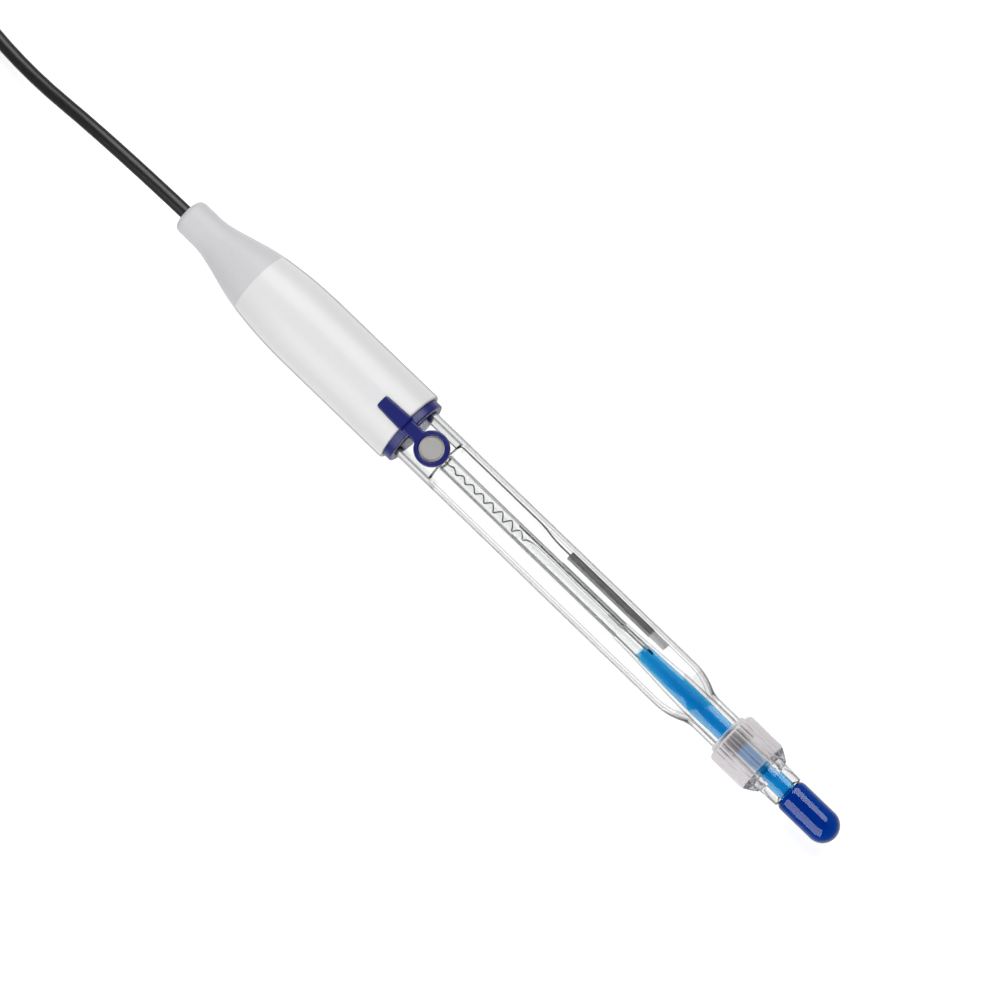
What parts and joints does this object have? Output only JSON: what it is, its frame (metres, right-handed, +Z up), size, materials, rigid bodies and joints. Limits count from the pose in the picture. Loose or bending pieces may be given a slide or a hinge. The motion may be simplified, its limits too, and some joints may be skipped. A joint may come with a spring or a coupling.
{
  "type": "ph electrode",
  "caption": "Refillable glass combination pH electrode with a white cap, blue silicone refill stopper, ribbed junction nut, blue bulb, and a black cable in a tied hank with its plug.",
  "frame": {"origin": "bottom centre of the electrode's box, from its boot's end to its bulb, without cable and plug; the electrode lies on the table at z = 0 on its cap's rim and its nut", "axes": "+X along the electrode towards its bulb, +Z up from the table, with the refill stopper on top"},
  "size_m": [0.327, 0.027, 0.0237],
  "materials": {
    "white_plastic": "glossy white moulded plastic",
    "boot_grey": "soft pale grey moulding, satin",
    "potting_resin": "cast resin",
    "cable_black": "satin black jacket",
    "tie_black": "matt band",
    "plug_rubber": "matt black rubber",
    "plug_metal": "nickel plated brass",
    "spring_steel": "spring steel",
    "insulator_white": "white fluoroplastic",
    "contact_gold": "gold plated contact",
    "blue_silicone": "dark blue silicone, satin",
    "stopper_grey": "grey silicone",
    "clear_glass": "clear glass",
    "electrolyte": "clear liquid",
    "membrane_blue": "deep blue pH glass",
    "gel_blue": "blue buffer gel",
    "silver_wire": "silver wire",
    "silver_chloride": "dark silver chloride",
    "porous_grey": "porous grey",
    "nut_plastic": "matt translucent moulding",
    "clear_plastic": "clear moulding"
  },
  "bodies": {
    "root": {"cap_housing": "white_plastic", "cable_boot": "boot_grey", "cap_potting": "potting_resin", "top_seal": "potting_resin", "cable": "cable_black", "cable_hank": "cable_black", "cable_tail": "cable_black", "hank_tie": "tie_black", "plug_boot": "plug_rubber", "bnc_ferrule": "plug_metal", "bnc_body": "plug_metal", "bnc_spring_washer": "spring_steel", "bnc_retaining_ring": "spring_steel", "bnc_insulator": "insulator_white", "bnc_center_pin": "contact_gold", "bnc_gasket": "plug_rubber", "stopper_collar": "blue_silicone", "outer_glass": "clear_glass", "electrolyte": "electrolyte", "inner_stem": "clear_glass", "membrane_bulb": "membrane_blue", "inner_gel": "gel_blue", "inner_wire": "silver_wire", "inner_element": "silver_chloride", "reference_cartridge": "silver_chloride", "cartridge_plug": "porous_grey", "reference_wire": "silver_wire"},
    "stopper": {"stopper_ring": "blue_silicone", "stopper_plug": "stopper_grey"},
    "junction": {"junction_nut": "nut_plastic", "junction_sleeve": "clear_plastic", "nut_o_ring": "plug_rubber"},
    "coupling": {"bnc_coupling": "plug_metal"}
  },
  "joints": [
    {"name": "stopper_hinge", "type": "hinge", "parent": "root", "child": "stopper", "pos_m": [-0.02493, 0, 0.01546], "axis": [0, -1, 0], "range_deg": [0, 75], "stiffness_Nm_per_rad": 0.0004},
    {"name": "junction_slide", "type": "slide", "parent": "root", "child": "junction", "axis": [-0.9997, 0, 0.0255], "range_m": [0, 0.0045]},
    {"name": "coupling_turn", "type": "hinge", "parent": "root", "child": "coupling", "pos_m": [-0.234, 0.0051, 0.0165], "axis": [1, 0, 0], "continuous": true}
  ]
}
